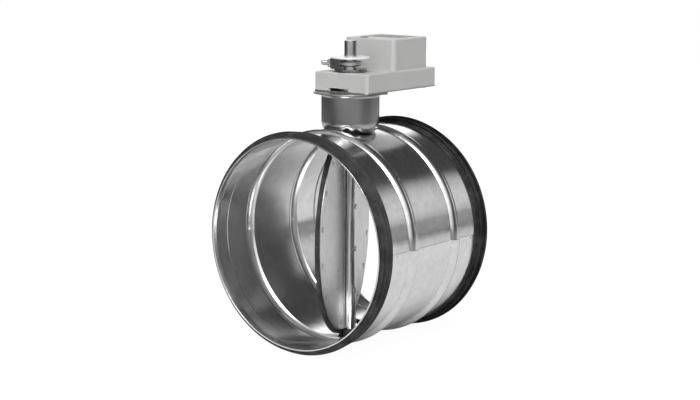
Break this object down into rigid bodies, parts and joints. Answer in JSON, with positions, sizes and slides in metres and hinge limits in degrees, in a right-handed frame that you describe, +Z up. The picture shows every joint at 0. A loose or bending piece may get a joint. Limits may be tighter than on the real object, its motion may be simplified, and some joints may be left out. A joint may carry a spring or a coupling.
{
  "type": "duct shut-off damper",
  "caption": "Round galvanized shut-off damper for a ventilation duct, with a rubber-edged blade, lip seals at both ends and an electric actuator clamped on the spindle.",
  "frame": {"origin": "where the duct's axis crosses the spindle's axis, inside the duct", "axes": "+Z up along the spindle towards the actuator; -Y along the duct's axis out of the near mouth; +X to the side, right-handed"},
  "size_m": [0.21, 0.1992, 0.2896],
  "materials": {
    "galvanized_steel": "hot-dip galvanized sheet",
    "drawn_steel": "deep-drawn zinc-coated sheet, dull",
    "zinc_steel": "electroplated zinc",
    "bright_steel": "polished steel",
    "spring_steel": "oiled spring steel",
    "spindle_steel": "drawn round bar",
    "seal_rubber": "EPDM, matt black",
    "bush_plastic": "moulded polyamide",
    "housing_plastic": "moulded light grey",
    "dark_plastic": "moulded dark grey",
    "gear_plastic": "moulded acetal",
    "brass": "turned",
    "board": "lacquered circuit board",
    "board_part": "moulded cases"
  },
  "bodies": {
    "duct": {"duct_shell": "galvanized_steel", "front_seal": "seal_rubber", "rear_seal": "seal_rubber", "upper_bearing": "bush_plastic", "lower_bearing": "bush_plastic", "bearing_retainers": "spring_steel", "saddle_gasket": "seal_rubber", "actuator_collar": "drawn_steel", "collar_rivets": "zinc_steel", "base_plate": "zinc_steel", "flange_screws": "zinc_steel", "plate_screws": "zinc_steel", "actuator_housing": "housing_plastic", "gear_plate": "zinc_steel", "gear_posts": "zinc_steel", "gear_axles": "bright_steel", "motor": "zinc_steel", "motor_screws": "zinc_steel", "circuit_board": "board", "board_parts": "board_part", "cable_gland": "dark_plastic", "release_spring": "spring_steel"},
    "blade": {"spindle": "spindle_steel", "spindle_seal": "seal_rubber", "spindle_clip": "spring_steel", "blade_front": "galvanized_steel", "blade_rear": "galvanized_steel", "blade_gasket": "seal_rubber", "blade_rivets": "zinc_steel", "blade_screws": "zinc_steel", "blade_nuts": "zinc_steel", "output_hub": "dark_plastic", "clamp_jaw": "drawn_steel", "clamp_bolt": "zinc_steel", "clamp_washers": "zinc_steel", "clamp_nuts": "zinc_steel", "clamp_disc": "bright_steel"},
    "first_gear": {"first_gear": "gear_plastic"},
    "second_gear": {"second_gear": "gear_plastic"},
    "motor_pinion": {"motor_pinion": "brass"},
    "button": {"release_button": "dark_plastic"}
  },
  "joints": [
    {"name": "blade_turn", "type": "hinge", "parent": "duct", "child": "blade", "pos_m": [0, 0, 0], "axis": [0, 0, 1], "range_deg": [-23.4, 66.6]},
    {"name": "first_gear_spin", "type": "hinge", "parent": "duct", "child": "first_gear", "pos_m": [0, 0.032, 0.1446], "axis": [0, 0, 1], "range_deg": [-288.6, 101.4]},
    {"name": "second_gear_spin", "type": "hinge", "parent": "duct", "child": "second_gear", "pos_m": [0, 0.053, 0.1496], "axis": [0, 0, 1], "range_deg": [-324.48, 923.52]},
    {"name": "motor_pinion_spin", "type": "hinge", "parent": "duct", "child": "motor_pinion", "pos_m": [0, 0.071, 0.1516], "axis": [0, 0, 1], "range_deg": [-2770.56, 973.44]},
    {"name": "button_press", "type": "slide", "parent": "duct", "child": "button", "axis": [0, 0, -1], "range_m": [0, 0.0016], "stiffness_N_per_m": 300, "deforming": ["release_spring"]}
  ],
  "couplings": [
    {"joint": "first_gear_spin", "follows": "blade_turn", "ratio": -4.3333},
    {"joint": "second_gear_spin", "follows": "blade_turn", "ratio": 13.867},
    {"joint": "motor_pinion_spin", "follows": "blade_turn", "ratio": -41.6}
  ]
}
